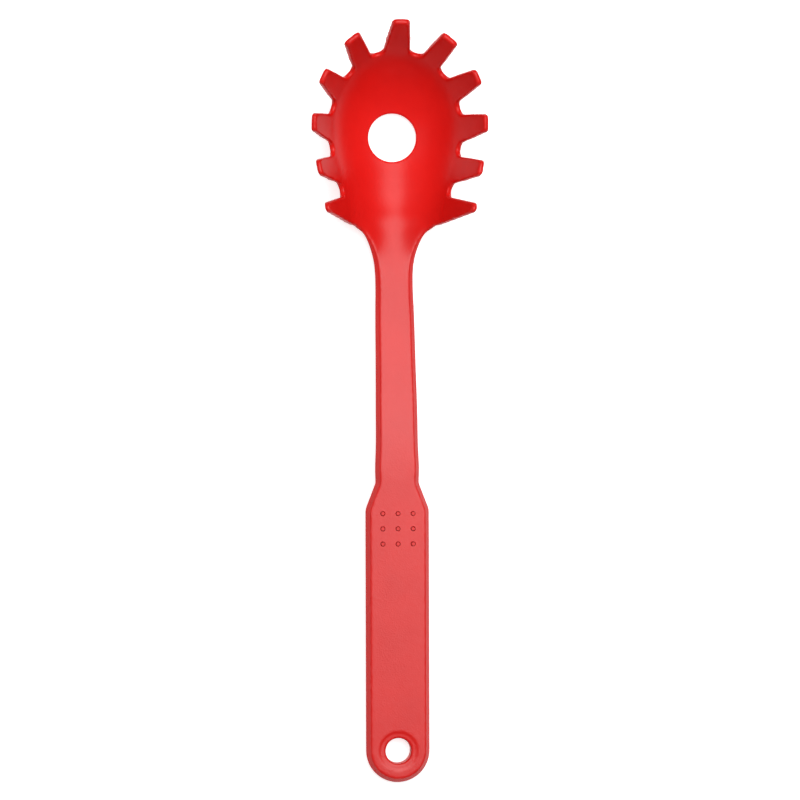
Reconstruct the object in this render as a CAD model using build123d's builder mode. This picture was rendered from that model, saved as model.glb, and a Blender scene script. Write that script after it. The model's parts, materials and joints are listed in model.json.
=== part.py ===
from build123d import *
import os
from math import atan, atan2, cos, hypot, pi, radians, sin, sqrt, tan

# A one-piece moulded pasta server, divided at its natural borders into named solids.
# It is shaped lying on its back: X across, Y from the hanging hole to the bowl,
# Z up out of the front face of the grip, and it is then tipped to rest on a table.

# Grip
grip_width = 25.0
grip_thickness = 7.5
shoulder_start = 94.7
shoulder_end = 104.9
shoulder_round = 6.0
bevel_width = 1.75
bevel_depth = 3.0
back_round = 3.4
hang_hole_radius = 5.0
hang_hole_bevel = 0.5
dish_radius = 7.6
dish_depth = 0.35

# Grip dots
dot_radius = 1.0
dot_height = 0.55
dot_taper = 32.0
dot_spacing = 5.95
dot_centre = 87.1
dots_per_row = 3

# Neck
neck_start = 106.5
neck_width = 17.1
waist_width = 15.0
waist_thickness = 4.4
neck_slope = 11.0
neck_bend = 124.0

# Flare: the quarter turn by which the neck opens into the bowl
flare_start = 186.0
flare_reach = 21.2
flare_turn = 74.2
rim_turn = 52.0

# Bowl shell
wall = 2.2
head_y = 244.6
head_rise = 8.5
bowl_radius = 27.0
bowl_stretch = 1.16
wall_angle = 67.5
floor_radius = 40.0
trough_radius = 19.0
trough_length = 44.0
drain_radius = 9.55
drain_offset = 2.8

# Comb
tine_straight = 20.5
rear_tine_extra = 3.3
rear_tine_station = 32.0
rear_edge_lean = 8.5
gap_drop = 0.6
rim_clearance = 2.15
tip_round = 1.3

# One overrun for every cut
overrun = 6.0

# The ten gaps of the comb: five on the right, mirrored to the left. Widths are shares of
# the bowl's radius. The two nearest the neck stand at shares of the trough's run up to the
# flare, and the others at turns round the bowl.
gap_foot_share = 0.1019
gap_tip_shares = (0.385, 0.415, 0.437, 0.422, 0.489)
trough_gap_shares = (0.646, 0.228)
bowl_gap_turns = (14.6, 44.7, 72.8)
gap_azimuths = (-4, 1, 14, 34, 75)

# Places of the loft sections, as shares of the stretch that they form
trough_section_shares = (-0.15, 0, 0.15, 0.3, 0.45, 0.6, 0.8, 1)
bar_section_shares = (0, 0.14, 0.3, 0.44, 0.65, 0.83)
flare_section_shares = (0, 0.2, 0.4, 0.6, 0.8, 1)
band_turn_shares = (1, 0.87, 0.73, 0.58, 0)
band_wall_shares = (1, 1, 0.98, 1, 1)

# The floor of the bowl is an arc that the front line of the neck meets without a corner
slope = radians(neck_slope)
rise = radians(head_rise)
lean = radians(wall_angle)
floor_run = floor_radius * (sin(rise) + sin(slope))
head_z = -(head_y - floor_run - neck_bend) * tan(slope) - floor_radius * (cos(rise) - cos(slope))
bend_run = neck_bend - neck_start
bend_radius = bend_run / tan(slope / 2)
head_location = Location((0, head_y, head_z))

# The flare ends where the trough of the shell begins
flare_end = flare_start + flare_reach * sin(radians(flare_turn))
trough_run = head_y - flare_end


def front_height(y):
    """Height of the neck's front line: level, then an arc, then a straight slope."""
    run = min(max(y - neck_start, 0), bend_radius * sin(slope))
    drop = bend_radius - sqrt(bend_radius**2 - run**2)
    return -drop - max(y - neck_start - run, 0) * tan(slope)


def floor_height(station):
    """Height of the bowl's floor line over the head's origin, going towards the neck."""
    run = min(station, floor_run) - floor_radius * sin(rise)
    arc_height = floor_radius * cos(rise) - sqrt(floor_radius**2 - run**2)
    return arc_height + max(station - floor_run, 0) * tan(slope)


def section_radius(station):
    """Inner radius of the trough, which eases from the bowl's to the neck's."""
    turn = pi * min(station / trough_length, 1)
    return trough_radius + (bowl_radius - trough_radius) * (1 + cos(turn)) / 2


def straight_length(station):
    """Length of the straight wall above the arc: the teeth near the neck are longer."""
    return tine_straight + rear_tine_extra * (station / rear_tine_station) ** 2


def wall_points(station):
    """Corners of the right wall in a section: inner root, inner tip, outer tip, outer root."""
    radius = section_radius(station)
    length = straight_length(station)
    root = Vector(radius * sin(lean), floor_height(station) + radius * (1 - cos(lean)))
    tip = root + Vector(length * cos(lean), length * sin(lean))
    out = Vector(wall * sin(lean), -wall * cos(lean))
    return root, tip, tip + out, root + out


def flip(point):
    return Vector(-point.X, point.Y)


# Grip blank
half_grip = grip_width / 2
half_neck = neck_width / 2
with BuildPart() as grip_blank:
    with BuildSketch() as outline:
        with BuildLine():
            CenterArc((0, 0), half_grip, 180, 180)
            Polyline(
                (half_grip, 0),
                (half_grip, shoulder_start),
                (half_neck, shoulder_end),
                (half_neck, neck_start + overrun),
                (-half_neck, neck_start + overrun),
                (-half_neck, shoulder_end),
                (-half_grip, shoulder_start),
                (-half_grip, 0),
            )
        make_face()
        shoulders = outline.vertices().filter_by_position(Axis.Y, shoulder_start, shoulder_start)
        fillet(shoulders, shoulder_round)
    extrude(amount=-grip_thickness)
    front = grip_blank.faces().sort_by(Axis.Z)[-1]
    back = grip_blank.faces().sort_by(Axis.Z)[0]
    neck_end = neck_start + overrun
    front_edges = front.edges().filter_by(lambda edge: edge.center().Y < neck_end - overrun / 2)
    back_edges = back.edges().filter_by(lambda edge: edge.center().Y < neck_end - overrun / 2)
    chamfer(front_edges, bevel_width, bevel_depth, reference=front)
    fillet(back_edges, back_round)

# Handle: the grip up to the neck, with its dish and hanging hole
with BuildPart() as handle:
    add(grip_blank.part)
    split(bisect_by=Plane.XZ.offset(-neck_start), keep=Keep.TOP)
    with BuildSketch():
        Circle(dish_radius)
    extrude(amount=-dish_depth, mode=Mode.SUBTRACT)
    with BuildSketch():
        Circle(hang_hole_radius)
    extrude(amount=-grip_thickness, mode=Mode.SUBTRACT)
    hole_rims = handle.edges().filter_by(GeomType.CIRCLE).filter_by(
        lambda edge: abs(edge.radius - hang_hole_radius) < hang_hole_bevel
    )
    chamfer(hole_rims, hang_hole_bevel)

# Grip dots: low pimples on the front face
with BuildPart() as grip_dots:
    with BuildSketch():
        with Locations((0, dot_centre)):
            with GridLocations(dot_spacing, dot_spacing, dots_per_row, dots_per_row):
                Circle(dot_radius)
    extrude(amount=dot_height, taper=dot_taper)


def bar_points(y):
    """Half of the neck's section: front corner, bevel foot, back corner, middle of the back."""
    share = min((y - neck_start) / (flare_start - neck_start), 1)
    side = (neck_width + (waist_width - neck_width) * share) / 2
    thickness = grip_thickness + (waist_thickness - grip_thickness) * share
    depth_share = thickness / grip_thickness
    radius = back_round * depth_share
    nook = radius * (1 - sqrt(2) / 2)
    return (
        Vector(side - bevel_width, 0),
        Vector(side, -bevel_depth * depth_share),
        Vector(side, radius - thickness),
        Vector(side - nook, nook - thickness),
        Vector(side - radius, -thickness),
        Vector(0, -thickness),
    )


def band_points():
    """The same points round the wall of the shell, where the flare ends."""
    inner = section_radius(trough_run)
    turn = radians(rim_turn)
    points = [Vector(inner * sin(turn), inner * (1 - cos(turn)))]
    for turn_share, wall_share in zip(band_turn_shares, band_wall_shares):
        outer = inner + wall * wall_share
        points.append(Vector(outer * sin(turn * turn_share), inner - outer * cos(turn * turn_share)))
    return points


def neck_section(y):
    """Section of the neck: a bevelled bar, which the flare opens into the wall of the shell."""
    quarter = sqrt(1 - (max(y - flare_start, 0) / flare_reach) ** 2)
    share = (1 - quarter) / (1 - cos(radians(flare_turn)))
    middle = Vector(0, front_height(y))
    pairs = zip(bar_points(y), band_points())
    points = [middle + bar * (1 - share) + band * share for bar, band in pairs]
    corner, shelf, side_foot, nook, back_corner, back_middle = points
    with BuildLine() as outline:
        if share > 0:
            ThreePointArc(flip(corner), middle, corner)
        else:
            Line(flip(corner), corner)
        Polyline(corner, shelf, side_foot)
        ThreePointArc(side_foot, nook, back_corner)
        if share > 0:
            ThreePointArc(back_corner, back_middle, flip(back_corner))
        else:
            Line(back_corner, flip(back_corner))
        ThreePointArc(flip(back_corner), flip(nook), flip(side_foot))
        Polyline(flip(side_foot), flip(shelf), flip(corner))
    return Plane.XZ.offset(-y) * Face(outline.wire())


# Neck: a bar that bends down, thins and opens into the bowl
neck_places = [neck_start + share * (flare_start - neck_start) for share in bar_section_shares]
for share in flare_section_shares:
    neck_places.append(flare_start + flare_reach * sin(radians(flare_turn * share)))
with BuildPart() as neck:
    loft([neck_section(y) for y in neck_places])

# Far half of the bowl and comb: half a turn of the wall, stretched along the server
# and rising evenly towards its far end
root, tip, outer_tip, outer_root = wall_points(0)
half_lean = lean / 2
outer_radius = bowl_radius + wall
with BuildPart() as far_half:
    with BuildSketch(Plane.XZ):
        with BuildLine():
            ThreePointArc(
                (0, 0),
                (bowl_radius * sin(half_lean), bowl_radius * (1 - cos(half_lean))),
                root,
            )
            Polyline(root, tip, outer_tip, outer_root)
            ThreePointArc(
                outer_root,
                (outer_radius * sin(half_lean), bowl_radius - outer_radius * cos(half_lean)),
                (0, -wall),
            )
            Line((0, -wall), (0, 0))
        make_face()
    revolve(axis=Axis.Z, revolution_arc=180)

stretch_and_rise = Matrix(
    [
        [1, 0, 0, 0],
        [0, bowl_stretch, 0, 0],
        [0, bowl_stretch * tan(rise), 1, 0],
        [0, 0, 0, 1],
    ]
)
far_shell = far_half.part.transform_geometry(stretch_and_rise)


def shell_section(station):
    """Section of the trough wall, square at the tips of the teeth."""
    inner_root, inner_tip, far_tip, far_root = wall_points(station)
    floor = floor_height(station)
    with BuildSketch(Plane.XZ.offset(station)) as section:
        with BuildLine():
            ThreePointArc(flip(inner_root), (0, floor), inner_root)
            Polyline(inner_root, inner_tip, far_tip, far_root)
            ThreePointArc(far_root, (0, floor - wall), flip(far_root))
            Polyline(flip(far_root), flip(far_tip), flip(inner_tip), flip(inner_root))
        make_face()
    return section.sketch


# Near half of the bowl and comb: a trough that closes in on the neck, cut by the rear edge
# of the comb, which leans forward from the end of the flare
rear_lean = radians(rear_edge_lean)
rim_at_flare = floor_height(trough_run) + section_radius(trough_run) * (1 - cos(radians(rim_turn)))
rear_edge = Plane(
    origin=(0, -trough_run, rim_at_flare),
    x_dir=(1, 0, 0),
    z_dir=(0, cos(rear_lean), -sin(rear_lean)),
)
with BuildPart() as near_half:
    for share in trough_section_shares:
        add(shell_section(share * trough_run))
    loft()
    split(bisect_by=Plane.XZ, keep=Keep.TOP)
    split(bisect_by=rear_edge, keep=Keep.TOP)


def gap_plane(x, y, z, azimuth, angle):
    """Plane laid on the wall at the foot of a gap, its Y up the wall and its Z outwards."""
    turn = radians(azimuth)
    outwards = (cos(turn) * sin(angle), sin(turn) * sin(angle), -cos(angle))
    return Plane(origin=(x, y, z), x_dir=(-sin(turn), cos(turn), 0), z_dir=outwards)


gap_planes = []
for share, azimuth in zip(trough_gap_shares, gap_azimuths):
    station = share * trough_run
    foot = wall_points(station)[0]
    gap_planes.append(gap_plane(foot.X, -station, foot.Y, azimuth, lean))
for bowl_turn, azimuth in zip(bowl_gap_turns, gap_azimuths[len(trough_gap_shares):]):
    turn = radians(bowl_turn)
    foot_x = root.X * cos(turn)
    foot_y = root.X * sin(turn) * bowl_stretch
    foot_z = root.Y + foot_y * tan(rise)
    steepness = tan(lean) * hypot(cos(turn), sin(turn) / bowl_stretch) + sin(turn) * tan(rise)
    gap_planes.append(gap_plane(foot_x, foot_y, foot_z, azimuth, atan(steepness)))

# Gaps of the comb: round at the foot and opening towards the tips
gap_radius = gap_foot_share * bowl_radius
gap_length = tine_straight + rear_tine_extra + overrun
gap_top = gap_length - gap_drop
with BuildPart() as gaps:
    for plane, tip_share in zip(gap_planes, gap_tip_shares):
        widening = (tip_share * bowl_radius / 2 - gap_radius) / tine_straight
        top_half = gap_radius + widening * gap_length
        with BuildSketch(plane):
            with Locations((0, gap_radius - gap_drop)):
                Circle(gap_radius)
            with BuildLine():
                Polyline(
                    (-gap_radius, gap_radius - gap_drop),
                    (gap_radius, gap_radius - gap_drop),
                    (top_half, gap_top),
                    (-top_half, gap_top),
                    close=True,
                )
            make_face()
        extrude(amount=overrun, both=True)
    mirror(about=Plane.YZ)

# Drain hole
with BuildPart() as drain:
    with BuildSketch(Plane.XY.offset(-overrun)):
        with Locations((0, -drain_offset)):
            Circle(drain_radius)
    extrude(amount=2 * overrun)

# Head: shell and comb
with BuildPart() as head:
    add(far_shell)
    add(near_half.part)
    add(gaps.part, mode=Mode.SUBTRACT)
    add(drain.part, mode=Mode.SUBTRACT)

# Everything above the rim line, which divides the teeth from the bowl
rim_height = root.Y + rim_clearance
rim_reach = bowl_radius + tine_straight
rim_top = rim_height + tine_straight + rear_tine_extra + rim_reach
with BuildPart() as above_rim:
    with BuildSketch(Plane.YZ):
        with BuildLine():
            Polyline(
                (-head_y, rim_height),
                (0, rim_height),
                (rim_reach, rim_height + rim_reach * tan(rise)),
                (rim_reach, rim_top),
                (-head_y, rim_top),
                close=True,
            )
        make_face()
    extrude(amount=rim_reach, both=True)

with BuildPart() as teeth:
    add(head.part)
    add(above_rim.part, mode=Mode.INTERSECT)

with BuildPart() as bowl:
    add(head.part)
    add(above_rim.part, mode=Mode.SUBTRACT)


def round_tip(tooth_solid):
    """Round the two corners of a tooth's tip, which are short edges across the wall."""
    with BuildPart() as tooth:
        add(tooth_solid)
        end = tooth.faces().sort_by(Axis.Z)[-1]
        short_edges = end.edges().sort_by(SortBy.LENGTH)[:2]
        fillet(short_edges, tip_round)
    return tooth.part


# Teeth, numbered from the left of the neck round the bowl to its right
def place_round_bowl(solid):
    centre = solid.center()
    return atan2(centre.X, centre.Y)


bowl_shape = bowl.part.moved(head_location)
nodes = {"handle": handle.part, "grip_dots": grip_dots.part, "neck": neck.part, "bowl": bowl_shape}
for number, solid in enumerate(sorted(teeth.part.solids(), key=place_round_bowl), start=1):
    nodes[f"tine_{number}"] = round_tip(solid).moved(head_location)

# The server rests on the end of its grip and the underside of its bowl: find the tilt
def lowest(shape, tilt):
    return (Rot(tilt, 0, 0) * shape).bounding_box().min.Z


low_tilt, high_tilt = 0.0, 2 * neck_slope
for _ in range(30):
    rest_tilt = (low_tilt + high_tilt) / 2
    if lowest(handle.part, rest_tilt) > lowest(bowl_shape, rest_tilt):
        low_tilt = rest_tilt
    else:
        high_tilt = rest_tilt

tilted = Compound(children=[Rot(rest_tilt, 0, 0) * shape for shape in nodes.values()]).bounding_box()
rest = Pos(-tilted.center().X, -tilted.center().Y, -tilted.min.Z) * Rot(rest_tilt, 0, 0)

os.makedirs("parts", exist_ok=True)
for name, shape in nodes.items():
    placed = rest * shape
    placed.label = name
    export_step(placed, f"parts/{name}.step")
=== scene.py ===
import json
from math import atan2, radians

import bmesh
import bpy
import numpy as np
from mathutils import Matrix, Vector
from mathutils.bvhtree import BVHTree


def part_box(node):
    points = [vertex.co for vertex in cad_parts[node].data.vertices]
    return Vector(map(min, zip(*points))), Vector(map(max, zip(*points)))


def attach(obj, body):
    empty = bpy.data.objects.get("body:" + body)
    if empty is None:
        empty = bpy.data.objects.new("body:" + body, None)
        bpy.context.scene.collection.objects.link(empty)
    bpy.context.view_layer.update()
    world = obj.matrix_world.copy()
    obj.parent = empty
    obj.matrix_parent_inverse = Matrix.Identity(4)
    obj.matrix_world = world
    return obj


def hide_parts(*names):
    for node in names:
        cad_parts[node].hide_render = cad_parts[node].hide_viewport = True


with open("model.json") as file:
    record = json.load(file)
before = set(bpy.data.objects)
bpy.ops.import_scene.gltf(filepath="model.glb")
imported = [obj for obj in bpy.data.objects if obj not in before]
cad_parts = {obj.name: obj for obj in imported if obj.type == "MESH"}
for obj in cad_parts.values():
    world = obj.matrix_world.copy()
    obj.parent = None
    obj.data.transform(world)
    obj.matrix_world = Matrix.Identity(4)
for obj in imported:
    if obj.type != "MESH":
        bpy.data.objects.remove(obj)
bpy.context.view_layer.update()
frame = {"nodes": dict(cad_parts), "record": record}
nodes = frame["nodes"]

MM = 0.001

# How far the middle of the hanging hole lies below the grip's front face
HOLE_DEPTH = 3.925 * MM

# Camera: in front of the middle of the server, a little to its left
CAMERA_DISTANCE = 1.3
CAMERA_YAW = radians(5.5)
CAMERA_ROLL = radians(-0.16)
CAMERA_SENSOR = 36.0
CAMERA_CLIP = 20
PICTURE_WIDTH = 313.2 * MM
AIM = Vector((0.9 * MM, 137.5 * MM, 0))

# Lights: the key's place and target are in the grip's frame, the fill's in the world's
KEY_PLACE = Vector((0.15, 0.48, 1.25))
KEY_TARGET = Vector((0, 0.2, 0))
KEY_SIZE = (1.2, 1.0)
KEY_POWER = 16.2
FILL_PLACE = Vector((-0.7, 0.1, 1.0))
FILL_TARGET = Vector((0, 0, 0))
FILL_SIZE = (0.8, 0.8)
FILL_POWER = 1.1
WORLD_STRENGTH = 0.1

# Nylon: its grain fades between these two places along Y, from the neck to the bowl
SMOOTH_START = 45 * MM
SMOOTH_END = 85 * MM
RED = (0.79, 0.011, 0.009, 1)
LIGHT_RED = (0.85, 0.014, 0.011, 1)
CLOUD_SCALE = 60.0
CLOUD_LOW = 0.3
CLOUD_HIGH = 0.7
GRAIN_SCALE = 1800.0
NOISE_DETAIL = 3.0
GRAIN_DEPTH = 0.1 * MM
GRAIN_STRENGTH = 0.6
BOWL_GRAIN = 0.3
GRIP_ROUGHNESS = 0.36
BOWL_ROUGHNESS = 0.32
NYLON_IOR = 1.5

# Gloss of the nylon by the upward part of its normal: steep faces are duller
STEEP = 0.4
LEVEL = 0.75
STEEP_GLOSS = 0.08
GRIP_GLOSS = 0.5
BOWL_GLOSS = 0.28

# Dots: painted shade, a dark red on their steep sides, and the nylon's red on top
DOT_SIDE = 0.7
DOT_TOP = 0.98
DOT_PAINTED_SHADE_RED = (0.34, 0.004, 0.004, 1)
DOT_ROUGHNESS = 0.4
DOT_IOR = 1.45

# Floor: a square of white paper
FLOOR_REACH = 6.0
FIBRE_SCALE = 400.0
FIBRE_DETAIL = 4.0
PAPER_DARK = (0.86, 0.86, 0.86, 1)
PAPER_LIGHT = (0.90, 0.90, 0.90, 1)
PAPER_GLOW = 0.7

# Joining the nodes: a face is an inner one if a point PROBE off it lies in another node
MERGE_DISTANCE = 0.001 * MM
PROBE = 0.03 * MM
PROBE_DIRECTION = Vector((0.0123, 0.0345, 1)).normalized()
PROBE_STEP = 0.0001 * MM
PROBE_CROSSINGS = 40

# Body mesh
VOXEL = 0.4 * MM
SMOOTH_FACTOR = 0.5
SMOOTH_ROUNDS = 6
WEIGHT_STEPS = 100

# Flare: where the neck opens into the bowl, in the grip's frame
FLARE_END = 206.4 * MM
FLARE_REACH = 12.0 * MM
FLARE_HALF_WIDTH = 15.5 * MM
FLARE_FADE = 4.0 * MM
FLARE_ROUNDS = 200

# Comb: the tips of the teeth and the valleys between them
TINES = 11
TIP_REACH = 3.5 * MM
VALLEY_REACH = 6.5 * MM
COMB_ROUNDS = 30


def grip_placement():
    """The grip's frame: X across, Y towards the bowl, Z out of its face, origin at the hole."""
    hang_hole = frame["record"]["mounts"][0]
    axis = Vector(hang_hole["axis"]).normalized()
    origin = Vector(hang_hole["pos_m"]) + axis * HOLE_DEPTH
    rest_tilt = atan2(-axis.y, axis.z)
    return Matrix.Translation(origin) @ Matrix.Rotation(rest_tilt, 4, "X")


def add_camera():
    data = bpy.data.cameras.new("camera")
    data.sensor_width = CAMERA_SENSOR
    data.lens = data.sensor_width * CAMERA_DISTANCE / PICTURE_WIDTH
    data.clip_end = CAMERA_CLIP
    camera = bpy.data.objects.new("camera", data)
    bpy.context.scene.collection.objects.link(camera)
    swing = Matrix.Rotation(-CAMERA_YAW, 4, "Y")
    roll = Matrix.Rotation(CAMERA_ROLL, 4, "Z")
    back = Matrix.Translation((0, 0, CAMERA_DISTANCE))
    camera.matrix_world = grip_frame @ Matrix.Translation(AIM) @ swing @ back @ roll
    bpy.context.scene.camera = camera


def add_area_light(name, place, target, size, power):
    data = bpy.data.lights.new(name, "AREA")
    data.shape = "RECTANGLE"
    data.size, data.size_y = size
    data.energy = power
    light = bpy.data.objects.new(name, data)
    bpy.context.scene.collection.objects.link(light)
    light.location = place
    light.rotation_euler = (target - place).to_track_quat("-Z", "Y").to_euler()


def add_lights():
    key_place = grip_frame @ KEY_PLACE
    key_target = grip_frame @ KEY_TARGET
    add_area_light("key", key_place, key_target, KEY_SIZE, KEY_POWER)
    add_area_light("fill", FILL_PLACE, FILL_TARGET, FILL_SIZE, FILL_POWER)


def add_world():
    world = bpy.data.worlds.new("studio")
    world.use_nodes = True
    background = world.node_tree.nodes["Background"]
    background.inputs["Color"].default_value = (1, 1, 1, 1)
    background.inputs["Strength"].default_value = WORLD_STRENGTH
    bpy.context.scene.world = world


class Nodes:
    """A short way to add shader nodes and link them."""

    def __init__(self, name):
        self.material = bpy.data.materials.new(name)
        self.material.use_nodes = True
        self.tree = self.material.node_tree
        self.tree.nodes.clear()

    def add(self, kind, settings=None, **inputs):
        """Add a node. An input's name is written with underscores for its spaces."""
        node = self.tree.nodes.new(kind)
        for key, value in (settings or {}).items():
            setattr(node, key, value)
        for key, value in inputs.items():
            self.feed(node.inputs[key.replace("_", " ")], value)
        return node

    def feed(self, socket, value):
        """Link an output to the socket, or set the socket to a plain value."""
        if isinstance(value, bpy.types.NodeSocket):
            self.tree.links.new(value, socket)
        else:
            socket.default_value = value

    def math(self, operation, first, second):
        node = self.add("ShaderNodeMath", {"operation": operation}, Value=first)
        self.feed(node.inputs[1], second)
        return node.outputs["Value"]

    def blend(self, value, start, end):
        """From start at value 0 to end at value 1."""
        node = self.add("ShaderNodeMapRange", Value=value, To_Min=start, To_Max=end)
        return node.outputs["Result"]

    def ramp(self, value, start, start_colour, end, end_colour):
        node = self.add("ShaderNodeValToRGB", Fac=value)
        first, last = node.color_ramp.elements
        first.position = start
        first.color = start_colour
        last.position = end
        last.color = end_colour
        return node.outputs["Color"]

    def noise(self, place, scale, detail):
        node = self.add("ShaderNodeTexNoise", Vector=place, Scale=scale, Detail=detail)
        return node.outputs["Fac"]

    def output(self, shader):
        self.add("ShaderNodeOutputMaterial", Surface=shader)
        return self.material


def nylon_material():
    """Satin red nylon: a fine grain on grip and neck, a smoother bowl."""
    kit = Nodes("red_nylon")
    place = kit.add("ShaderNodeTexCoord").outputs["Object"]
    along = kit.add("ShaderNodeSeparateXYZ", Vector=place).outputs["Y"]
    bowl_share = kit.add(
        "ShaderNodeMapRange",
        {"interpolation_type": "SMOOTHSTEP"},
        Value=along,
        From_Min=SMOOTH_START,
        From_Max=SMOOTH_END,
    ).outputs["Result"]
    cloud = kit.noise(place, CLOUD_SCALE, NOISE_DETAIL)
    colour = kit.ramp(cloud, CLOUD_LOW, RED, CLOUD_HIGH, LIGHT_RED)
    grain = kit.noise(place, GRAIN_SCALE, NOISE_DETAIL)
    height = kit.math("MULTIPLY", grain, kit.blend(bowl_share, 1.0, BOWL_GRAIN))
    bump = kit.add("ShaderNodeBump", Height=height, Strength=GRAIN_STRENGTH, Distance=GRAIN_DEPTH)
    normal = kit.add("ShaderNodeNewGeometry").outputs["Normal"]
    upward = kit.add("ShaderNodeSeparateXYZ", Vector=normal).outputs["Z"]
    gloss = kit.add(
        "ShaderNodeMapRange",
        Value=upward,
        From_Min=STEEP,
        From_Max=LEVEL,
        To_Min=STEEP_GLOSS,
        To_Max=kit.blend(bowl_share, GRIP_GLOSS, BOWL_GLOSS),
    )
    shader = kit.add(
        "ShaderNodeBsdfPrincipled",
        Base_Color=colour,
        Roughness=kit.blend(bowl_share, GRIP_ROUGHNESS, BOWL_ROUGHNESS),
        IOR=NYLON_IOR,
        Specular_IOR_Level=gloss.outputs["Result"],
        Normal=bump.outputs["Normal"],
    )
    return kit.output(shader.outputs["BSDF"])


def painted_shade_dot_material():
    """Dots of the same nylon, with painted shade darkening their steep sides."""
    kit = Nodes("red_nylon_dots_painted_shade")
    normal = kit.add("ShaderNodeNewGeometry").outputs["Normal"]
    upward = kit.add("ShaderNodeSeparateXYZ", Vector=normal).outputs["Z"]
    # Painted shade: by the upward part of the normal, the steep sides turn dark red and the tops
    # keep the nylon's red
    colour = kit.ramp(upward, DOT_SIDE, DOT_PAINTED_SHADE_RED, DOT_TOP, LIGHT_RED)
    shader = kit.add(
        "ShaderNodeBsdfPrincipled", Base_Color=colour, Roughness=DOT_ROUGHNESS, IOR=DOT_IOR
    )
    return kit.output(shader.outputs["BSDF"])


def paper_material():
    """White paper that looks plain white to the camera and still takes a soft shadow."""
    kit = Nodes("white_paper")
    path = kit.add("ShaderNodeLightPath").outputs
    seen = kit.math("MAXIMUM", path["Is Camera Ray"], path["Is Glossy Ray"])
    seen = kit.math("MAXIMUM", seen, path["Is Transmission Ray"])
    place = kit.add("ShaderNodeTexCoord").outputs["Object"]
    fibre = kit.noise(place, FIBRE_SCALE, FIBRE_DETAIL)
    tone = kit.ramp(fibre, 0, PAPER_DARK, 1, PAPER_LIGHT)
    paper = kit.add("ShaderNodeBsdfDiffuse", Color=tone).outputs["BSDF"]
    glow = kit.add("ShaderNodeEmission", Strength=PAPER_GLOW).outputs["Emission"]
    lit = kit.add("ShaderNodeAddShader")
    kit.feed(lit.inputs[0], paper)
    kit.feed(lit.inputs[1], glow)
    surface = kit.add("ShaderNodeMixShader", Fac=seen)
    kit.feed(surface.inputs[1], paper)
    kit.feed(surface.inputs[2], lit.outputs["Shader"])
    return kit.output(surface.outputs["Shader"])


def add_floor():
    mesh = bpy.data.meshes.new("floor")
    corners = [
        (-FLOOR_REACH, -FLOOR_REACH, 0),
        (FLOOR_REACH, -FLOOR_REACH, 0),
        (FLOOR_REACH, FLOOR_REACH, 0),
        (-FLOOR_REACH, FLOOR_REACH, 0),
    ]
    mesh.from_pydata(corners, [], [(0, 1, 2, 3)])
    floor = bpy.data.objects.new("floor", mesh)
    bpy.context.scene.collection.objects.link(floor)
    mesh.materials.append(paper_material())


def holds_point(tree, point):
    """True where the point lies inside the closed mesh of the tree."""
    crossings = 0
    origin = point
    for _ in range(PROBE_CROSSINGS):
        hit = tree.ray_cast(origin, PROBE_DIRECTION)[0]
        if hit is None:
            break
        crossings += 1
        origin = hit + PROBE_DIRECTION * PROBE_STEP
    return crossings % 2 == 1


def near_box(box, point):
    low, high = box
    return all(low[k] - PROBE < point[k] < high[k] + PROBE for k in range(3))


def node_meshes(names):
    meshes = {}
    for name in names:
        part = bmesh.new()
        part.from_mesh(nodes[name].data)
        bmesh.ops.remove_doubles(part, verts=part.verts, dist=MERGE_DISTANCE)
        bmesh.ops.recalc_face_normals(part, faces=part.faces)
        meshes[name] = part
    return meshes


def joined_moulding(names):
    """One mesh of the named nodes without the faces on which they meet."""
    meshes = node_meshes(names)
    trees = {name: BVHTree.FromBMesh(part) for name, part in meshes.items()}
    boxes = {name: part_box(name) for name in names}
    whole = bmesh.new()
    for name, part in meshes.items():
        others = [other for other in names if other != name]
        inner = []
        for face in part.faces:
            probe = face.calc_center_median() + face.normal * PROBE
            if any(near_box(boxes[n], probe) and holds_point(trees[n], probe) for n in others):
                inner.append(face)
        bmesh.ops.delete(part, geom=inner, context="FACES")
        skin = bpy.data.meshes.new(name + "_skin")
        part.to_mesh(skin)
        whole.from_mesh(skin)
        bpy.data.meshes.remove(skin)
        part.free()
    mesh = bpy.data.meshes.new("server_body")
    whole.to_mesh(mesh)
    whole.free()
    return mesh


def apply_modifiers(piece):
    bpy.context.view_layer.update()
    graph = bpy.context.evaluated_depsgraph_get()
    mesh = bpy.data.meshes.new_from_object(piece.evaluated_get(graph))
    piece.modifiers.clear()
    old = piece.data
    piece.data = mesh
    bpy.data.meshes.remove(old)


def ease(values):
    """Slow at both ends, from 0 to 1."""
    values = np.clip(values, 0, 1)
    return values * values * (3 - 2 * values)


def mesh_points(mesh):
    points = np.empty(len(mesh.vertices) * 3)
    mesh.vertices.foreach_get("co", points)
    return points.reshape(-1, 3)


def flare_weights(mesh):
    """Weight of the place where the flare meets the bowl, away from its rims."""
    to_grip = np.array(grip_frame.inverted())
    points = mesh_points(mesh) @ to_grip[:3, :3].T + to_grip[:3, 3]
    along = ease(1 - np.abs(points[:, 1] - FLARE_END) / FLARE_REACH)
    across = ease((FLARE_HALF_WIDTH - np.abs(points[:, 0])) / FLARE_FADE)
    return (along * across) ** 2


def tip_weights(points, box):
    """Weight of the upper end of a tooth, full in the upper half of TIP_REACH."""
    low = np.array(box[0]) - VOXEL
    high = np.array(box[1]) + VOXEL
    inside = ((points > low) & (points < high)).all(axis=1)
    return ease((points[:, 2] - high[2] + TIP_REACH) / TIP_REACH * 2) * inside


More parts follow.
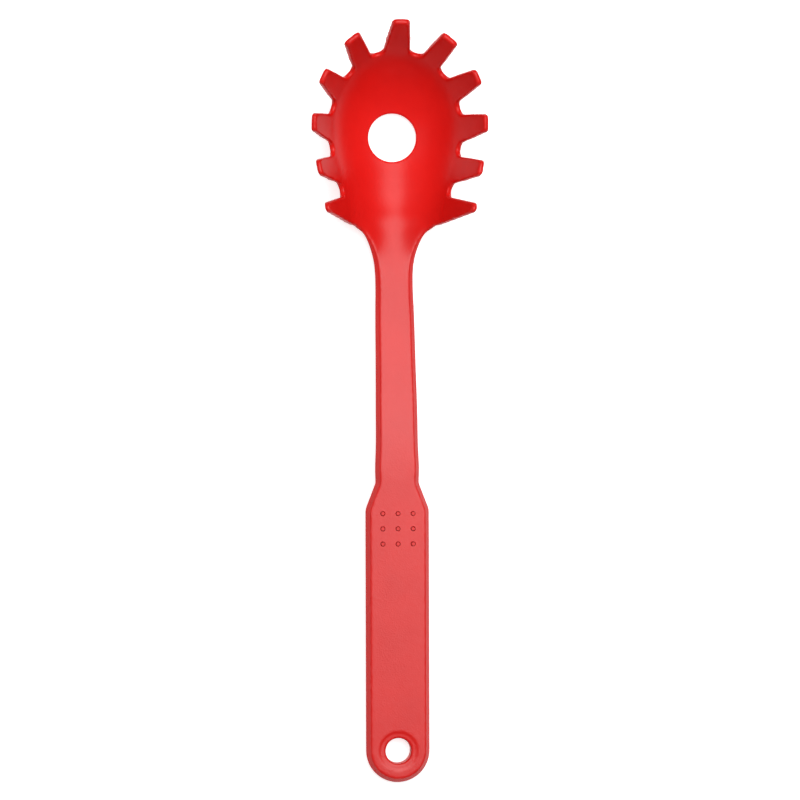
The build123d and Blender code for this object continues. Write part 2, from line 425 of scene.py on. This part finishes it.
def valley_weights(points, box, next_box):
    """Weight round the foot of the gap between two teeth, full in half of VALLEY_REACH."""
    middle = (np.array(box[0]) + box[1] + next_box[0] + next_box[1]) / 4
    middle[2] = (box[0][2] + next_box[0][2]) / 2
    distance = np.linalg.norm(points - middle, axis=1)
    return ease((VALLEY_REACH - distance) / VALLEY_REACH * 2)


def comb_weights(mesh):
    points = mesh_points(mesh)
    boxes = [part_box(f"tine_{number}") for number in range(1, TINES + 1)]
    weights = [tip_weights(points, box) for box in boxes]
    weights += [valley_weights(points, *pair) for pair in zip(boxes, boxes[1:])]
    return np.max(weights, axis=0)


def soften_where(piece, name, weights, rounds):
    """Smooth the mesh of the piece where the weights say."""
    group = piece.vertex_groups.new(name=name)
    levels = np.rint(weights * WEIGHT_STEPS).astype(int)
    for level in range(1, WEIGHT_STEPS + 1):
        indices = np.nonzero(levels == level)[0].tolist()
        if indices:
            group.add(indices, level / WEIGHT_STEPS, "REPLACE")
    smooth = piece.modifiers.new(name, "SMOOTH")
    smooth.factor = SMOOTH_FACTOR
    smooth.iterations = rounds
    smooth.vertex_group = name


def add_body(material):
    """The whole moulding but its dots, as one mesh with soft edges and no inner borders."""
    names = [name for name in nodes if name != "grip_dots"]
    body = bpy.data.objects.new("server_body", joined_moulding(names))
    bpy.context.scene.collection.objects.link(body)
    remesh = body.modifiers.new("remesh", "REMESH")
    remesh.mode = "VOXEL"
    remesh.voxel_size = VOXEL
    remesh.use_smooth_shade = True
    soften = body.modifiers.new("soften", "SMOOTH")
    soften.factor = SMOOTH_FACTOR
    soften.iterations = SMOOTH_ROUNDS
    apply_modifiers(body)
    soften_where(body, "flare", flare_weights(body.data), FLARE_ROUNDS)
    soften_where(body, "comb", comb_weights(body.data), COMB_ROUNDS)
    apply_modifiers(body)
    body.vertex_groups.clear()
    body.data.polygons.foreach_set("use_smooth", [True] * len(body.data.polygons))
    body.data.materials.clear()
    body.data.materials.append(material)
    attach(body, "root")
    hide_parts(*names)


def colour_dots(material):
    dots = nodes["grip_dots"]
    dots.data.materials.clear()
    dots.data.materials.append(material)


grip_frame = grip_placement()
add_camera()
add_world()
add_lights()
add_floor()
add_body(nylon_material())
colour_dots(painted_shade_dot_material())
bpy.context.scene.view_settings.view_transform = "Standard"
